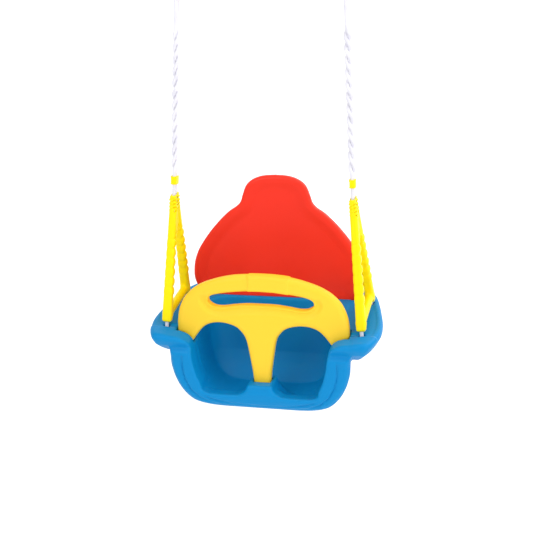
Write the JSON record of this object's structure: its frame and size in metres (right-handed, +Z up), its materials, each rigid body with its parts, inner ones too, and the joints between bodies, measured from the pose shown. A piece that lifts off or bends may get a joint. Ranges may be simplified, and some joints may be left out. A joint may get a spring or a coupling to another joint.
{
  "type": "toddler bucket swing",
  "caption": "Toddler bucket swing with a moulded seat, lift-off T-bar and backrest, and triangular side hangers on ropes that loop over two hanging rings.",
  "frame": {"origin": "midway between the round bores of the two hanging rings, on the line that the swing hangs from", "axes": "+Z up, -Y the open front where the legs come out, +X the right-hand side seen from the front; symmetric left to right about the YZ plane"},
  "size_m": [0.453, 0.2442, 0.876],
  "materials": {
    "seat_plastic": "satin moulded",
    "t_bar_plastic": "satin moulded",
    "backrest_plastic": "satin moulded",
    "hanger_plastic": "satin moulded",
    "ring_plastic": "satin moulded",
    "rope": "braided white rope"
  },
  "bodies": {
    "rings": {"left_hanging_ring": "ring_plastic", "right_hanging_ring": "ring_plastic"},
    "swing_seat": {"seat_shell": "seat_plastic", "left_hanger": "hanger_plastic", "right_hanger": "hanger_plastic", "left_rope": "rope", "right_rope": "rope", "left_front_knot": "rope", "left_rear_knot": "rope", "right_front_knot": "rope", "right_rear_knot": "rope"},
    "t_bar": {"t_bar": "t_bar_plastic"},
    "backrest": {"backrest": "backrest_plastic"},
    "left_clip": {"left_rope_clip": "hanger_plastic"},
    "right_clip": {"right_rope_clip": "hanger_plastic"}
  },
  "joints": [
    {"name": "swing", "type": "hinge", "parent": "rings", "child": "swing_seat", "pos_m": [0, 0, -0.049], "axis": [1, 0, 0], "range_deg": [-40, 40]},
    {"name": "t_bar_lift", "type": "slide", "parent": "swing_seat", "child": "t_bar", "axis": [0, 0, 1], "range_m": [0, 0.13]},
    {"name": "backrest_lift", "type": "slide", "parent": "swing_seat", "child": "backrest", "axis": [0, 0, 1], "range_m": [0, 0.06]},
    {"name": "left_clip_slide", "type": "slide", "parent": "swing_seat", "child": "left_clip", "axis": [0.0422, 0.0852, 0.9955], "range_m": [-0.004, 0.22]},
    {"name": "right_clip_slide", "type": "slide", "parent": "swing_seat", "child": "right_clip", "axis": [-0.0422, 0.0852, 0.9955], "range_m": [-0.004, 0.22]}
  ]
}
